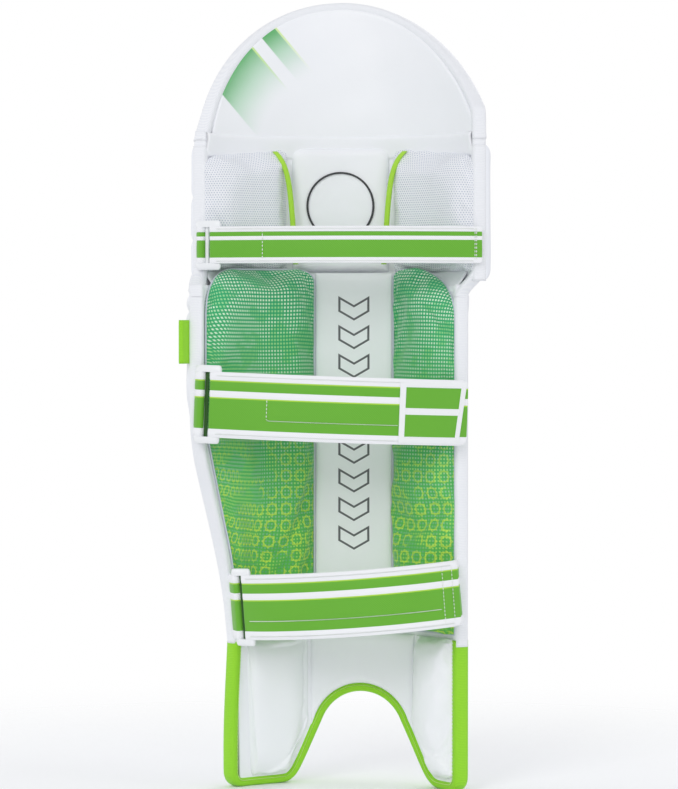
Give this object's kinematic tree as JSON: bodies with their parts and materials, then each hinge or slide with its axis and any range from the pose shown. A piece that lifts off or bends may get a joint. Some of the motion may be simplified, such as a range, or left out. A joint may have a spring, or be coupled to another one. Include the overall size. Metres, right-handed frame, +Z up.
{
  "type": "cricket leg pad",
  "caption": "Padded cricket leg guard with vertical shin ribs, horizontal knee rolls, a hinged domed top and three buckled straps.",
  "frame": {"origin": "on the vertical axis of the leg the pad wraps, level with the bottom of the feet", "axes": "+Z up, towards the top hat; -Y towards the ball, +Y towards the back of the leg; +X towards the outer side of a left leg"},
  "size_m": [0.2839, 0.1687, 0.735],
  "materials": {
    "facing_white": "smooth synthetic leather",
    "foam": "closed-cell padding foam",
    "lining_white": "smooth coated lining",
    "cane": "cane rods",
    "binding_lime": "woven edge tape",
    "mesh_green": "printed spacer mesh",
    "binding_white": "woven edge tape",
    "webbing_green": "woven strap webbing",
    "loop_pile": "loop pile",
    "buckle_white": "moulded",
    "hook_tape": "hook tape",
    "badge_white": "sewn patch",
    "mesh_white": "white air mesh"
  },
  "bodies": {
    "shin_section": {"shin_facing": "facing_white", "shin_foam_sheet": "foam", "shin_lining": "lining_white", "shin_ribs": "facing_white", "shin_rib_cores": "foam", "cane_rods": "cane", "instep_panel": "facing_white", "side_wing": "facing_white", "wing_foam": "foam", "side_tab": "binding_lime", "bolster_outer": "mesh_green", "bolster_inner": "mesh_green", "bolster_cores": "foam", "channel_strip": "lining_white", "ankle_pad_outer": "lining_white", "ankle_pad_inner": "lining_white", "ankle_pad_cores": "foam", "ankle_panel": "lining_white", "foot_binding": "binding_lime", "shin_binding": "binding_white", "calf_tab": "webbing_green", "calf_strap": "webbing_green", "calf_loop_patch": "loop_pile", "ankle_tab": "webbing_green", "ankle_strap": "webbing_green", "ankle_loop_patch": "loop_pile"},
    "calf_buckle": {"calf_buckle": "buckle_white"},
    "calf_strap_tail": {"calf_tail": "webbing_green", "calf_hook_patch": "hook_tape", "calf_badge": "badge_white"},
    "ankle_buckle": {"ankle_buckle": "buckle_white"},
    "ankle_strap_tail": {"ankle_tail": "webbing_green", "ankle_hook_patch": "hook_tape"},
    "knee_section": {"knee_facing": "facing_white", "knee_foam_sheet": "foam", "knee_lining": "lining_white", "knee_roll_top": "facing_white", "knee_roll_middle": "facing_white", "knee_roll_bottom": "facing_white", "knee_roll_cores": "foam", "knee_wing_outer": "facing_white", "knee_wing_inner": "facing_white", "knee_wing_foams": "foam", "knee_bolster_outer": "mesh_white", "knee_bolster_inner": "mesh_white", "knee_bolster_cores": "foam", "knee_panel": "lining_white", "knee_piping": "binding_lime", "knee_tab": "webbing_green", "knee_strap": "webbing_green", "knee_loop_patch": "loop_pile"},
    "knee_buckle": {"knee_buckle": "buckle_white"},
    "knee_strap_tail": {"knee_tail": "webbing_green", "knee_hook_patch": "hook_tape"},
    "top_hat": {"hat_facing": "facing_white", "hat_foam_sheet": "foam", "hat_lining": "lining_white", "hat_ribs": "facing_white", "hat_binding": "binding_white"}
  },
  "joints": [
    {"name": "knee_fold", "type": "hinge", "parent": "shin_section", "child": "knee_section", "pos_m": [0, -0.148, 0.471], "axis": [1, 0, 0], "range_deg": [0, 15]},
    {"name": "top_hat_fold", "type": "hinge", "parent": "knee_section", "child": "top_hat", "pos_m": [0, -0.148, 0.6005], "axis": [1, 0, 0], "range_deg": [0, 18]},
    {"name": "knee_buckle_swing", "type": "hinge", "parent": "knee_section", "child": "knee_buckle", "pos_m": [0.12133, -0.0642, 0.506], "axis": [0, 0, -1], "range_deg": [0, 25]},
    {"name": "knee_strap_peel", "type": "hinge", "parent": "knee_buckle", "child": "knee_strap_tail", "pos_m": [0.10974, -0.05812, 0.506], "axis": [0, 0, -1], "range_deg": [0, 120]},
    {"name": "calf_buckle_swing", "type": "hinge", "parent": "shin_section", "child": "calf_buckle", "pos_m": [0.12096, -0.03053, 0.3604], "axis": [0.0366, 0, -0.9993], "range_deg": [0, 25]},
    {"name": "calf_strap_peel", "type": "hinge", "parent": "calf_buckle", "child": "calf_strap_tail", "pos_m": [0.10905, -0.02506, 0.35996], "axis": [0.0366, 0, -0.9993], "range_deg": [0, 120]},
    {"name": "ankle_buckle_swing", "type": "hinge", "parent": "shin_section", "child": "ankle_buckle", "pos_m": [0.0874, -0.06665, 0.17093], "axis": [-0.0767, 0, -0.9971], "range_deg": [0, 25]},
    {"name": "ankle_strap_peel", "type": "hinge", "parent": "ankle_buckle", "child": "ankle_strap_tail", "pos_m": [0.0788, -0.05668, 0.17159], "axis": [-0.0767, 0, -0.9971], "range_deg": [0, 120]}
  ]
}
